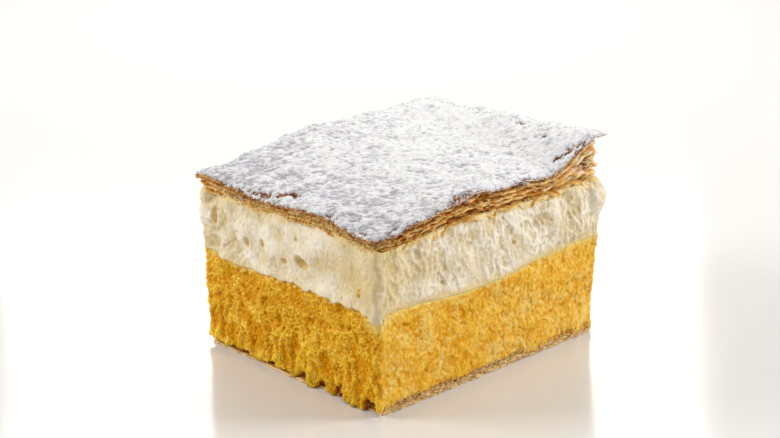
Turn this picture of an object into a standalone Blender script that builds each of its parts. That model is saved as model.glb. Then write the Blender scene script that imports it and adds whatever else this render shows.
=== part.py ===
"""A cream slice: custard and whipped cream between two sheets of puff pastry, cut square from a tray.

Metres, +Z up. The slice rests on its bottom sheet, and the origin is under the middle of its
bounding box. X runs along the long cut side. Four pieces lie on each other, GAP apart:

    bottom_pastry    a thin, flat, pressed sheet
    custard          the thick yellow layer
    whipped_cream    the white layer, which bulges past the custard on the two far sides
    top_pastry       a puffed sheet of leaves, whose crust lifts and overhangs at the +X end

Each piece is a slab between two uneven surfaces, heights over (x, y), and its four cut sides are
set in or out of the cut plane row by row. The surfaces are shared, so neighbours never cross.
"""

import math

import bmesh
import bpy
from mathutils import Vector, noise

MM = 0.001


def mm(*values):
    """Millimetres as metres."""
    return tuple(value * MM for value in values)


# Driving dimensions.
LENGTH = 91 * MM            # long cut side, along X
WIDTH = 78 * MM             # short cut side, along Y
BOTTOM_SHEET = 3.3 * MM     # thickness of the bottom pastry
CUSTARD_TOP = 32.3 * MM     # height of the custard at its edges
CREAM_TOP = 50.3 * MM       # height of the cream under the top pastry
CRUST_TOP = 55.0 * MM       # height of the sugared crust at the low -X side
GAP = 0.3 * MM              # clearance between pieces that lie on each other
CORNER = 1.6 * MM           # how far an upright corner of the cut is rounded off
SLICE_AT = Vector(mm(-1.39, -0.58, 0))  # middle of the cut, seen from the middle of the box

# How the crust rises from its low -X side, and curls up towards the +X, -Y corner.
PUFF_RISE = 3.6 * MM
PUFF_LENGTH = 14 * MM
CURL_RISE = 5.8 * MM
CURL_START = 25 * MM
CURL_LENGTH = 20 * MM

# Swells (and hollows, when negative): middle x, middle y, radius, height.
CUSTARD_SWELLS = (mm(-4, -39, 24, -2.5), mm(-46, 20, 14, -1.5), mm(24, 30, 20, -1.4))
CREAM_SWELLS = (mm(-11, -39, 17, 1.6), mm(-46, -15, 12, 1.7), mm(0, 38, 22, 1.5))
CRUST_SWELLS = (
    mm(-46, -14, 12, 1.3), mm(-44, -36, 9, -1.2), mm(-46, 15, 11, -1.0),
    mm(-9, -38, 10, 1.5), mm(26, -38, 11, -1.4), mm(-2, 38, 18, 1.9),
)
SHEET_WAVE = mm(14, 0.35)   # size and height of the waves in the bottom sheet's upper face

# How each layer's cut sides waver: size of the waves, their height, and the seed of the pattern.
BOTTOM_WAVER = (7 * MM, 0.5 * MM, 1)
CUSTARD_WAVER = (9 * MM, 0.45 * MM, 2)
CREAM_WAVER = (8 * MM, 0.8 * MM, 3)
LEAF_WAVER = (9 * MM, 0.55 * MM, 4)
APART = 7.3                 # keeps the patterns of the four sides apart, in waves

# The bottom sheet is set in from the cut, most of all under the custard at -X.
BOTTOM_INSET = 0.3 * MM
BOTTOM_TUCK = 1.3 * MM

# The custard leans out towards its top, and has a soft foot at -X and a flared rim at +X.
CUSTARD_LEAN = 0.1 * MM
CUSTARD_LEAN_END = 0.9 * MM     # at +X
CUSTARD_LEAN_BACK = 1.6 * MM    # at +Y
CUSTARD_FOOT = 0.4 * MM
FOOT_LEVEL = 0.3                # share of the height over which the foot fades out
CUSTARD_FLARE = 1.8 * MM
FLARE_LEVEL = 0.8               # where the flare starts

# The cream bellies out, less on the two cut sides, and bulges at its corners.
CREAM_BELLY = 2.3 * MM
CREAM_CUT_BELLY = 0.6 * MM
BELLY_END = 0.1                 # where the belly's arch starts and ends, as a share of half a turn
CREAM_BULGES = (mm(-43, 40, 43, 6.5, 0.8), mm(-44, 40, 48.5, 4.5, 1.0), mm(46, -38, 44.5, 5.5, 2.2))

# Levels of the top pastry's rows: three leaves, then the crust leaf, each pair of close levels
# being the ledge between one leaf and the next. The last two rows are the crust leaf's faces.
LEAF_LEVELS = (0.0, 0.32, 0.35, 0.65, 0.68, 1.0)
LEAF_REACH = mm(-0.9, -0.4, 0.5, 0.1, -0.6, -0.3)
CRUST_ROW = len(LEAF_LEVELS)
CRUST_LEAF = 1.3 * MM           # thickness of the crust leaf
CRUST_LIP = 0.1 * MM            # how far its lower edge is rounded up
CRUST_REACH = 0.5 * MM          # how far it reaches past the cut
CRUST_OVERHANG = 3.9 * MM       # how far it reaches past the cut at +X
LEAF_SPACING = 11 * MM          # how far apart the leaves read the waver, so that each has its own

# How the crust's corners depart from the square: corner x, corner y, spread, then x, y and z moves.
CRUST_CORNERS = (
    mm(-45.5, 39, 6, -0.7, 1.6, 1.2),
    mm(-45.5, -39, 4, 1.6, 1.6, 0.2),
    mm(45.5, 39, 12, 1.4, 0.2, 0.5),
    mm(45.5, -39, 5, 0.3, -0.2, 0.2),
)

# Mesh density: cells along X and Y, the same for every piece, and rows of the two thick layers.
CELLS_X = 22
CELLS_Y = 18
SHEET_ROWS = 2
LAYER_ROWS = 6
ON_SIDE = 0.499             # a point this far out in a unit cube lies on its side
SHARP_ANGLE = 40            # edges sharper than this are shaded sharp, in degrees


def ramp(value):
    """A smooth rise from 0 to 1 as value goes from 0 to 1."""
    value = min(1.0, max(0.0, value))
    return value * value * (3 - 2 * value)


def swell(swells, x, y):
    """The sum of round swells at (x, y)."""
    return sum(
        height * math.exp(-((x - middle_x) ** 2 + (y - middle_y) ** 2) / radius ** 2)
        for middle_x, middle_y, radius, height in swells
    )


def bottom_pastry_top(x, y):
    size, height = SHEET_WAVE
    return BOTTOM_SHEET + height * noise.noise(Vector((x, y, 0)) / size)


def custard_top(x, y):
    return CUSTARD_TOP + swell(CUSTARD_SWELLS, x, y)


def cream_top(x, y):
    return CREAM_TOP + swell(CREAM_SWELLS, x, y)


def crust_top(x, y):
    """The upper face of the top pastry, which puffs away from -X and curls up at +X, -Y."""
    puff = PUFF_RISE * (1 - math.exp(-max(0.0, x + LENGTH / 2) / PUFF_LENGTH))
    share = (WIDTH / 2 - y) / WIDTH
    curl = CURL_RISE * share * ramp((x - CURL_START) / CURL_LENGTH)
    return CRUST_TOP + puff + curl + swell(CRUST_SWELLS, x, y)


def corner_moves(x, y):
    """How the crust's corners depart from the square, as a move along x, y and z."""
    moves = Vector((0, 0, 0))
    for at_x, at_y, spread, *move in CRUST_CORNERS:
        moves += math.exp(-((x - at_x) ** 2 + (y - at_y) ** 2) / spread ** 2) * Vector(move)
    return moves


def waver(point, outward, pattern):
    """How far a wavering cut side stands out at a point."""
    size, height, seed = pattern
    place = Vector(point) / size + APART * outward + Vector((0, 0, seed))
    return 2 * height * noise.noise(place)


def bottom_pastry_side(x, y, level, outward):
    """Set in under the custard at -X, and ragged elsewhere."""
    tucked = BOTTOM_TUCK if outward.x < 0 else BOTTOM_INSET
    return waver((x, y, level * BOTTOM_SHEET), outward, BOTTOM_WAVER) - tucked


def custard_side(x, y, level, outward):
    """A clean cut that leans out towards the top, with a soft foot over the bottom sheet."""
    lean = (CUSTARD_LEAN_END if outward.x > 0 else CUSTARD_LEAN) * (2 * level - 1)
    if outward.y > 0:
        lean += CUSTARD_LEAN_BACK * level
    if outward.x > 0:
        lean += CUSTARD_FLARE * ramp((level - FLARE_LEVEL) / (1 - FLARE_LEVEL))
    if outward.x < 0:
        lean += CUSTARD_FOOT * (1 - ramp(level / FOOT_LEVEL))
    height = level * (CUSTARD_TOP - BOTTOM_SHEET)
    return lean + waver((x, y, height), outward, CUSTARD_WAVER)


def cream_side(x, y, level, outward):
    """Bellied out on the far sides, torn and lumpy on the cut ones."""
    cut_side = outward.x < 0 or outward.y < 0
    arch = math.sin(math.pi * (BELLY_END + (1 - 2 * BELLY_END) * level))
    belly = (CREAM_CUT_BELLY if cut_side else CREAM_BELLY) * arch
    height = level * (CREAM_TOP - CUSTARD_TOP)
    place = Vector((x, y, CUSTARD_TOP + height))
    bulge = sum(
        high * math.exp(-(place - Vector(middle)).length_squared / radius ** 2)
        for *middle, radius, high in CREAM_BULGES
    )
    return belly + bulge + waver((x, y, height), outward, CREAM_WAVER)


def top_pastry_side(x, y, row, outward):
    """Each leaf ends at its own reach, and the crust leaf hangs over at +X."""
    if row < CRUST_ROW:
        reach = LEAF_REACH[row]
    else:
        reach = CRUST_OVERHANG if outward.x > 0 else CRUST_REACH
    leaf = (row + 1) // 2
    return reach + waver((x, y, leaf * LEAF_SPACING), outward, LEAF_WAVER)


def top_pastry_height(x, y, row):
    """Height of a row of the top pastry: leaves share what is below the crust leaf."""
    floor = cream_top(x, y) + GAP
    crust = crust_top(x, y) + corner_moves(x, y).z
    if row > CRUST_ROW:
        return crust
    crust_floor = crust - CRUST_LEAF
    if row == CRUST_ROW:
        return crust_floor + CRUST_LIP
    return floor + (crust_floor - floor) * LEAF_LEVELS[row]


def slab(rows, side, height, moves=None):
    """A closed slab of CELLS_X by CELLS_Y by rows cells.

    side(x, y, row, outward) says how far a cut side is set out at a row, height(x, y, row)
    how high a row lies, and moves(x, y, row), when given, how far a point is moved besides.
    """
    mesh = bmesh.new()
    bmesh.ops.create_cube(mesh, size=1)
    for axis, cells in enumerate((CELLS_X, CELLS_Y, rows)):
        along = [
            edge for edge in mesh.edges
            if abs(edge.verts[0].co[axis] - edge.verts[1].co[axis]) > 0.5
        ]
        bmesh.ops.subdivide_edges(mesh, edges=along, cuts=cells - 1, use_grid_fill=True)
    rounding = CORNER * (1 - math.sqrt(0.5))
    for vert in mesh.verts:
        across, deep, up = vert.co
        x, y = across * LENGTH, deep * WIDTH
        row = round((up + 0.5) * rows)
        on_end, on_long = abs(across) > ON_SIDE, abs(deep) > ON_SIDE
        rounded = rounding if on_end and on_long else 0.0
        step_x = step_y = 0.0
        if on_end:
            outward = Vector((math.copysign(1, across), 0, 0))
            step_x = (side(x, y, row, outward) - rounded) * outward.x
        if on_long:
            outward = Vector((0, math.copysign(1, deep), 0))
            step_y = (side(x, y, row, outward) - rounded) * outward.y
        x, y = x + step_x, y + step_y
        if moves:
            move = moves(x, y, row)
            x, y = x + move.x, y + move.y
        vert.co = (x, y, height(x, y, row))
    return mesh


def layer(rows, side, floor, ceiling):
    """A slab with even rows between two surfaces."""

    def side_at(x, y, row, outward):
        return side(x, y, row / rows, outward)

    def height_at(x, y, row):
        low, high = floor(x, y), ceiling(x, y)
        return low + (high - low) * row / rows

    return slab(rows, side_at, height_at)


def crust_moves(x, y, row):
    """The crust leaf takes its corners' moves whole, and the leaves below it by their level."""
    share = 1.0 if row >= CRUST_ROW else LEAF_LEVELS[row]
    return corner_moves(x, y) * share


def food(name, colour, roughness, subsurface):
    """A soft, light-scattering Principled material."""
    material = bpy.data.materials.new(name)
    material.use_nodes = True
    shader = material.node_tree.nodes["Principled BSDF"]
    shader.inputs["Base Color"].default_value = (*colour, 1)
    shader.inputs["Roughness"].default_value = roughness
    shader.inputs["Subsurface Weight"].default_value = subsurface
    shader.inputs["Subsurface Scale"].default_value = 3 * MM
    material.diffuse_color = (*colour, 1)
    return material


def add_piece(name, mesh, material):
    """Turns a finished bmesh into the object of that name."""
    data = bpy.data.meshes.new(name)
    bmesh.ops.recalc_face_normals(mesh, faces=mesh.faces)
    mesh.to_mesh(data)
    mesh.free()
    data.materials.append(material)
    data.shade_smooth()
    data.set_sharp_from_angle(angle=math.radians(SHARP_ANGLE))
    piece = bpy.data.objects.new(name, data)
    piece.location = SLICE_AT
    bpy.context.scene.collection.objects.link(piece)
    return piece


def build():
    for old in list(bpy.data.objects):
        bpy.data.objects.remove(old)

    add_piece(
        "bottom_pastry",
        layer(SHEET_ROWS, bottom_pastry_side, lambda x, y: 0.0, bottom_pastry_top),
        food("baked_pastry", (0.50, 0.30, 0.13), 0.7, 0.1),
    )
    add_piece(
        "custard",
        layer(
            LAYER_ROWS, custard_side, lambda x, y: bottom_pastry_top(x, y) + GAP, custard_top,
        ),
        food("custard", (0.78, 0.45, 0.05), 0.45, 0.4),
    )
    add_piece(
        "whipped_cream",
        layer(LAYER_ROWS, cream_side, lambda x, y: custard_top(x, y) + GAP, cream_top),
        food("whipped_cream", (0.86, 0.80, 0.66), 0.5, 0.4),
    )
    add_piece(
        "top_pastry",
        slab(CRUST_ROW + 1, top_pastry_side, top_pastry_height, crust_moves),
        food("sugared_pastry", (0.84, 0.80, 0.76), 0.8, 0.1),
    )


build()
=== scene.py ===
"""The looks of a cream slice: baked leaves, custard, whipped cream, crust and icing sugar.

Every piece is shaped on the same surfaces as the solids, in the slice's own x and y, measured
from the middle of the cut. Layers and leaves are bands: tubes of fine columns that run round the
four cut sides, whose points are then set out, in, up or down by a function of their place. Two
values are kept at each point for the finishes. The first is how dark the point is coloured: on
the custard, the cream and the sugar it is painted shade, set by how deep the point lies in the
relief; on the pastry it is how dark it is baked, with painted shade where the leaves lie back
from the cut and under the custard's foot, and a lighter painted glow under the lifted corner.
The second is how much of a neighbouring food has rubbed off on it, which also paints shade on
the cream and a glow on the leaves under the lifted corner.
"""

import math
import random

import bmesh
import bpy
from mathutils import Matrix, Vector, noise


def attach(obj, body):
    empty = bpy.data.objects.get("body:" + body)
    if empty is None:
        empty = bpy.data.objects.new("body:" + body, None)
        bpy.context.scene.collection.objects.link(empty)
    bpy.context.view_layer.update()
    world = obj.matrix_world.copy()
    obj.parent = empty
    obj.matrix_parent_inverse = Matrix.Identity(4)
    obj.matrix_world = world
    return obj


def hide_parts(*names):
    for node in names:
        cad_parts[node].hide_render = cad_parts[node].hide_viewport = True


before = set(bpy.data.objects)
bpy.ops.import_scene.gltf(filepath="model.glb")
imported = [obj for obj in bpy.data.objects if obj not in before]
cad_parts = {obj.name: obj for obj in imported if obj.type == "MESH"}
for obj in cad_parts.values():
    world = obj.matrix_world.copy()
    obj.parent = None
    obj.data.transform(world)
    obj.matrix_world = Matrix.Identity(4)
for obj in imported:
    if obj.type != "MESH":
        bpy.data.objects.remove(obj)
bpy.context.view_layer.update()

MM = 0.001


def mm(*values):
    """Millimetres as metres."""
    return tuple(value * MM for value in values)


# The cut and its layers, as in the solids.
LENGTH, WIDTH = mm(91, 78)
HALF_X, HALF_Y = LENGTH / 2, WIDTH / 2
BOTTOM_SHEET, CUSTARD_TOP, CREAM_TOP, CRUST_TOP = mm(3.3, 32.3, 50.3, 55.0)
SLICE_AT = Vector(mm(-1.39, -0.58, 0))
PUFF_RISE, PUFF_LENGTH = mm(3.6, 14)
CURL_RISE, CURL_START, CURL_LENGTH = mm(5.8, 25, 20)
CRUST_LEAF, CRUST_OVERHANG = mm(1.3, 3.9)
CORNER = 1.6 * MM           # how far a cut corner is rounded off

# Swells (and hollows, when negative): middle x, middle y, radius, height.
CUSTARD_SWELLS = (mm(-4, -39, 24, -2.5), mm(-46, 20, 14, -1.5), mm(24, 30, 20, -1.4))
CREAM_SWELLS = (mm(-11, -39, 17, 1.6), mm(-46, -15, 12, 1.7), mm(0, 38, 22, 1.5))
CRUST_SWELLS = (
    mm(-46, -14, 12, 1.3), mm(-44, -36, 9, -1.2), mm(-46, 15, 11, -1.0),
    mm(-9, -38, 10, 1.5), mm(26, -38, 11, -1.4), mm(-2, 38, 18, 1.9),
)

CAP_STEPS = mm(1.2, 4, 8, 12)       # insets of the rings that close a band


# ---- surfaces


def ramp(value):
    """A smooth rise from 0 to 1 as value goes from 0 to 1."""
    value = min(1.0, max(0.0, value))
    return value * value * (3 - 2 * value)


def rise(value, start, length):
    """A smooth rise from 0 to 1 over a length, both in millimetres."""
    return ramp((value - start * MM) / (length * MM))


def swell(swells, x, y):
    """The sum of round swells at (x, y)."""
    return sum(
        height * math.exp(-((x - middle_x) ** 2 + (y - middle_y) ** 2) / radius ** 2)
        for middle_x, middle_y, radius, height in swells
    )


def bottom_pastry_top(x, y):
    return BOTTOM_SHEET + 0.35 * MM * noise.noise(Vector((x, y, 0)) / (14 * MM))


def custard_top(x, y):
    return CUSTARD_TOP + swell(CUSTARD_SWELLS, x, y)


def cream_top(x, y):
    return CREAM_TOP + swell(CREAM_SWELLS, x, y)


def crust_top(x, y):
    """The upper face of the top pastry, which puffs away from -X and curls up at +X, -Y."""
    puff = PUFF_RISE * (1 - math.exp(-max(0.0, x + HALF_X) / PUFF_LENGTH))
    share = (HALF_Y - y) / WIDTH
    curl = CURL_RISE * share * ramp((x - CURL_START) / CURL_LENGTH)
    return CRUST_TOP + puff + curl + swell(CRUST_SWELLS, x, y)


# ---- relief


def lumps(point, size, seed=0.0):
    """Smooth hills and dips of about -1 to 1, about size across."""
    return 1.6 * noise.noise(point / (size * MM) + Vector((seed, -seed, 2 * seed)))


def crests(point, size, sharp, seed=0.0):
    """A net of crests at 1, which fall to 0 between them, about size apart."""
    net = noise.noise(point / (size * MM) + Vector((seed, seed, -seed)))
    return (1 - min(1.0, 2.2 * abs(net))) ** sharp


def curds(point, size, seed=0.0):
    """Round grains packed together: about 1 at their middles and 0 in the creases between."""
    nearest, second = noise.voronoi(point / (size * MM) + Vector((seed, 0, seed)))[0][:2]
    return min(1.0, 1.6 * (second - nearest))


def warped(point, size, reach, seed=0.0):
    """The point moved about by up to reach, so that patterns read there wander."""
    return point + reach * MM * noise.noise_vector(point / (size * MM) + Vector((seed, seed, seed)))


def drawn(point, tall, slant=0.0):
    """A point squeezed along Z, so that patterns read there are drawn out tall times upwards."""
    along = slant * point.z
    return Vector((point.x + along, point.y + along, point.z / tall))


def swept(point, long):
    """A flat point squeezed along the sweep of the sieve, so that patterns are drawn out that way."""
    along, across = point.dot(SWEEP), point.dot(SWEEP.cross(Vector((0, 0, 1))))
    return Vector((along / long, across, 0))


def ripple(point, outward, size, seed):
    """The slow waver that the solids' cut sides have, blended round the corners."""
    total = 0.0
    for axis in (0, 1):
        way = Vector((0, 0, 0))
        way[axis] = math.copysign(7.3, outward[axis])
        total += outward[axis] ** 2 * 2 * noise.noise(point / (size * MM) + way + Vector((0, 0, seed)))
    return total


def spots(table, point, firm=0.45):
    """The greatest depth of a table of spots at a point; firm is how steep their rims are.

    Each has its middle's x, y and z, radius, tallness and depth, all in millimetres but the tallness.
    """
    deepest = 0.0
    for x, y, z, radius, tall, depth in table:
        away = point - Vector(mm(x, y, z))
        away.z /= tall
        share = away.length / (radius * MM)
        if share < 1.6:
            deepest = max(deepest, depth * MM * (1 - ramp((share - firm) / (1.15 - firm))))
    return deepest


# ---- bands


def bare_mesh():
    """An empty mesh with the two values that are kept at each point."""
    mesh = bmesh.new()
    for name in ("shade_and_browning", "smear_shade_and_glow"):
        mesh.verts.layers.float.new(name)
    return mesh


def kept_values(mesh):
    """The two values that are kept at each point."""
    return mesh.verts.layers.float["shade_and_browning"], mesh.verts.layers.float["smear_shade_and_glow"]


def band(cell, rows):
    """A tube round the nominal cut, one unit high, of columns about cell wide and that many rows."""
    mesh = bare_mesh()
    bmesh.ops.create_cube(mesh, size=1)
    bmesh.ops.scale(mesh, vec=(LENGTH, WIDTH, 1), verts=mesh.verts)
    caps = [face for face in mesh.faces if abs(face.normal.z) > 0.9]
    bmesh.ops.delete(mesh, geom=caps, context="FACES_ONLY")
    upright = [edge for edge in mesh.edges if edge.verts[0].co.z * edge.verts[1].co.z < 0]
    arc = max(2, round(CORNER * math.pi / 2 / cell))
    bmesh.ops.bevel(
        mesh, geom=upright, offset=CORNER, segments=arc, profile=0.5, affect="EDGES", material=-1,
    )
    for axis, span in enumerate((LENGTH, WIDTH)):
        along = [
            edge for edge in mesh.edges
            if abs(edge.verts[0].co[axis] - edge.verts[1].co[axis]) > span / 2
        ]
        cuts = round(span / cell) - 1
        bmesh.ops.subdivide_edges(mesh, edges=along, cuts=cuts, use_grid_fill=True)
    upright = [edge for edge in mesh.edges if edge.verts[0].co.z * edge.verts[1].co.z < 0]
    bmesh.ops.subdivide_edges(mesh, edges=upright, cuts=rows - 1, use_grid_fill=True)
    return mesh


def outward_at(x, y):
    """The way out of the rounded cut at a point on it."""
    inner_x = max(-HALF_X + CORNER, min(HALF_X - CORNER, x))
    inner_y = max(-HALF_Y + CORNER, min(HALF_Y - CORNER, y))
    away = Vector((x - inner_x, y - inner_y, 0))
    return away.normalized() if away.length > 0 else Vector((0, 0, 0))


def facing(outward):
    """How far a way out points to the left (-X), the right, the front (-Y) and behind."""
    return tuple(max(0.0, way) for way in (-outward.x, outward.x, -outward.y, outward.y))


def inset(x, y, depth):
    """A point of the cut moved in by depth, the corners keeping their form."""
    return x * (1 - 2 * depth / LENGTH), y * (1 - 2 * depth / WIDTH)


def shape_band(mesh, rows, place):
    """Moves every point of a band: place(x, y, outward, row) gives its place and the two kept values, how
    dark it is coloured, with painted shade, and how smeared it is.
    """
    shade_and_browning, smear_shade_and_glow = kept_values(mesh)
    for vert in mesh.verts:
        x, y, up = vert.co
        vert.co, vert[shade_and_browning], vert[smear_shade_and_glow] = place(
            x, y, outward_at(x, y), round((up + 0.5) * rows),
        )


def close_ends(mesh, floor, ceiling):
    """Closes a band's two ends with rings that lie on the floor and the ceiling surfaces."""
    for end, surface in ((-1, floor), (1, ceiling)):
        rim = [edge for edge in mesh.edges if edge.is_boundary]
        middle = sum(vert.co.z for edge in rim for vert in edge.verts) / (2 * len(rim))
        rim = [edge for edge in rim if end * (edge.verts[0].co.z - middle) > 0]
        for shrink in CAP_STEPS:
            grown = bmesh.ops.extrude_edge_only(mesh, edges=rim)["geom"]
            for vert in (item for item in grown if isinstance(item, bmesh.types.BMVert)):
                vert.co.x, vert.co.y = inset(vert.co.x, vert.co.y, shrink)
                vert.co.z = surface(vert.co.x, vert.co.y)
            rim = [item for item in grown if isinstance(item, bmesh.types.BMEdge)]
            rim = [edge for edge in rim if edge.is_boundary]
        bmesh.ops.holes_fill(mesh, edges=rim, sides=0)


def join_ends(mesh):
    """Joins a band's two ends to each other, which makes it a closed ring."""
    ends = [edge for edge in mesh.edges if edge.is_boundary]
    bmesh.ops.bridge_loops(mesh, edges=ends)


def set_in_scene(name, data):
    """A new object of the scene."""
    made = bpy.data.objects.new(name, data)
    bpy.context.scene.collection.objects.link(made)
    return made


def mesh_object(name, mesh, material):
    """A new object of the scene, made from a bmesh."""
    data = bpy.data.meshes.new(name)
    mesh.to_mesh(data)
    mesh.free()
    data.materials.append(material)
    return set_in_scene(name, data)


def finish_piece(mesh, name, material, node=None):
    """Makes the finished bmesh a piece at the slice's place, riding on the one body."""
    bmesh.ops.recalc_face_normals(mesh, faces=mesh.faces)
    bmesh.ops.translate(mesh, vec=SLICE_AT, verts=mesh.verts)
    piece = mesh_object(name, mesh, material)
    piece.data.shade_smooth()
    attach(piece, "root")
    if node:
        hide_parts(node)


# ---- custard

# Hollows under the custard's -X side, where the sheet shows, browned and with painted shade: y, half width,
# height.
FOOT_HOLLOWS = (
    mm(36, 5.0, 2.4), mm(21.5, 3.0, 3.2), mm(9.5, 1.6, 2.4), mm(-4.5, 2.1, 3.8),
    mm(-13.5, 2.4, 3.4), mm(-20.5, 2.0, 4.2), mm(-34.2, 3.0, 5.2),
)

# Tears and pits in the custard's cut faces: x, y, z, radius, tallness, depth.
CUSTARD_TEARS = (
    (-35.2, -39, 26.2, 1.6, 0.4, 0.8),
    (-12, -39, 22, 1.1, 1.2, 0.35),
    (6, -39, 17, 1.3, 0.6, 0.40),
    (21, -39, 22.5, 1.2, 1.3, 0.40),
    (33, -39, 19, 1.0, 1.4, 0.35),
    (-45.5, -24, 24, 1.2, 1.4, 0.8),
    (-45.5, -8, 19, 1.2, 1.8, 0.7),
)


def seam(x, y, outward):
    """How far the custard and the cream stand out of the cut where they meet."""
    point = Vector((x, y, CUSTARD_TOP))
    _, right, _, behind = facing(outward)
    return (0.3 + 1.7 * right + 1.3 * behind + 0.4 * ripple(point, outward, 9, 2)) * MM


def foot_hollow(y, z):
    """1 in the hollows under the custard's -X side, 0 where a lobe reaches down."""
    nearest = min(math.hypot((y - middle) / half, z / tall) for middle, half, tall in FOOT_HOLLOWS)
    return 1 - ramp((nearest - 0.65) / 0.6)


def crumb(point, bent, drag):
    """Relief of the broken -X side: fluffy clumps of grains, dragged into short folds lower down."""
    pulled = drawn(bent, 1 + 0.8 * drag)
    relief = 0.50 * (curds(pulled, 2.3, 3) - 0.45)
    relief += 0.60 * (curds(point, 1.1, 5) - 0.45)
    relief += 0.30 * lumps(pulled, 4.4, 8) + 0.20 * lumps(point, 0.8, 9)
    ragged = bent + Vector((0, 0.5 * MM * lumps(point, 1.4, 10), 0))
    relief += (0.12 + 1.05 * drag) * (crests(drawn(ragged, 2.5), 3.7, 1.5, 12) - 0.40)
    return relief


def flesh(point, bent):
    """Relief of the clean cuts: soft patches, crescent wrinkles and low ridges."""
    patches = ramp(0.5 + 1.3 * lumps(point, 6, 16))
    wrinkles = crests(warped(point, 2.4, 1.0, 13), 4.2, 6, 14)
    ridges = crests(warped(point, 2.8, 1.1, 25), 4.8, 6, 26)
    relief = 0.26 * (curds(bent, 5.0, 21) - 0.6)
    relief += 0.20 * lumps(bent, 3.2, 22) + 0.09 * lumps(point, 1.3, 23)
    relief += 0.04 * lumps(point, 0.8, 24)
    return relief - 0.46 * patches * wrinkles + 0.30 * (1 - patches) * ridges


def foot_drop(x, y, outward):
    """How far the custard's foot hangs down over the edge of the bottom sheet."""
    left, _, front, _ = facing(outward)
    by_left = 2.9 - 1.3 * rise(y, -4, 8) + 0.3 * lumps(Vector((x, y, 0)), 5, 45)
    by_left *= 1 - 0.4 * rise(-y, 34, 4)
    to_corner = 1.3 * rise(-x, 37, 5)
    by_front = 0.2 + 1.1 * rise(x, -25, 60) + 0.4 * lumps(Vector((x, y, 0)), 7, 46)
    return (left * by_left + front * max(by_front, to_corner)) * MM


def custard_point(x, y, outward, level):
    """The custard's surface at a place round the cut and a level: the point, its painted shade and its
    smears.
    """
    low, high = bottom_pastry_top(x, y), custard_top(x, y)
    point = Vector((x, y, low + (high - low) * level))
    left, right, front, behind = facing(outward)
    lean = (0.1 + 0.8 * right) * (2 * level - 1) + 1.6 * behind * level
    flare = 1.8 * right * ramp((level - 0.8) / 0.2)
    slow = (lean + flare) * MM + 0.45 * MM * ripple(point, outward, 9, 2)
    slow += ramp((level - 0.8) / 0.2) * (seam(x, y, outward) - slow)

    bent = warped(point, 3, 0.9, 6)
    drag = ramp((0.8 - level) / 0.5)
    relief = left * crumb(point, bent, drag) + (1 - left) * flesh(point, bent)
    torn = ramp((lumps(warped(point, 4, 1.5, 14), 2.3, 15) - 0.5) / 0.3)
    relief -= (0.2 + 0.5 * left) * torn * ramp(0.6 + lumps(point, 10, 17))
    relief -= spots(CUSTARD_TEARS, warped(point, 2, 0.9, 28)) / MM

    to_corner = math.hypot(x + HALF_X, y + HALF_Y) / MM
    smooth_top = 0.85 * ramp((level - 0.90) / 0.10) * (1 - left)
    mixed = left * ramp((level - 0.88) / 0.1) * (0.5 + 0.8 * lumps(point, 1.5, 29))
    by_cream = ramp(1.3 - math.hypot(to_corner, (1 - level) * 29) / 8.0)
    on_corner = 0.5 * front * ramp(1.3 - to_corner / 5) * ramp((level - 0.55) / 0.35)
    pale = (1 - left) * (0.32 + 0.20 * lumps(point, 7, 27))
    smeared = max(0.0, smooth_top, by_cream, on_corner, pale, mixed)
    relief *= 1 - 0.65 * max(smooth_top, by_cream, on_corner)

    foot = ramp(1 - level / 0.2)
    point.z = max(0.2 * MM, point.z - foot * foot_drop(x, y, outward))
    hollow_y = y + 0.9 * MM * lumps(point, 3.0, 18)
    bare = left * foot_hollow(hollow_y, point.z * (1 + 0.3 * lumps(point, 2.0, 19)))
    relief += foot * (0.5 * left + 0.1 * front) - 2.3 * bare
    point += outward * (slow + relief * MM)
    point -= outward * 0.3 * MM * ramp((level - 0.985) / 0.015)
    # Painted shade: the custard is coloured darker where its relief sinks in, and darkest in the hollows
    # under its foot at -X.
    depth = min(0.72, 0.40 - relief / (2.0 - 0.5 * left)) + 0.6 * bare
    return point, max(0.0, depth), smeared * (1 - bare)


# ---- whipped cream

# Torn air pockets and creases in the cream: x, y, z, radius, tallness, depth.
CREAM_POCKETS = (
    (-45.8, -6.4, 39.2, 3.2, 0.72, 2.1),
    (-45.8, 1.6, 37.4, 1.5, 0.7, 0.9),
    (-45.8, 33, 43.8, 1.3, 2.4, 1.5),
    (-45.8, 18, 39.0, 1.2, 1.6, 1.0),
    (-45.8, 11.5, 40.2, 1.1, 1.5, 0.9),
    (-45.8, -4.5, 46.0, 0.9, 0.8, 0.9),
    (-20, -39.2, 35.0, 0.9, 0.7, 0.6),
    (9, -39.2, 39.5, 0.9, 0.8, 0.6),
    (24, -39.2, 43.0, 0.9, 1.0, 0.6),
)
CREAM_BULGES = (
    (-43, 40, 43, 6.5, 1.0, 1.5),
    (-44, 40, 48.5, 4.5, 1.0, 1.9),
    (-45.5, 39.5, 43.2, 1.6, 0.8, 2.6),
    (-46, 37, 36, 4.0, 1.0, 1.0),
    (-45.8, 27, 45.5, 3.4, 1.6, 0.7),
    (46, -38, 44.5, 4.8, 1.4, 2.9),
    (-46, -28, 37, 6.0, 0.8, 0.8),
)

# Dabs of custard that the knife left on the cream: x, y, z, radius, tallness, strength.
CUSTARD_DABS = (
    (-45.8, -31.5, 37.2, 1.5, 1.5, 1.0),
    (-45.8, -25.0, 33.5, 0.8, 1.2, 0.7),
    (-41.0, -39.2, 33.0, 1.4, 0.8, 0.6),
)


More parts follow.
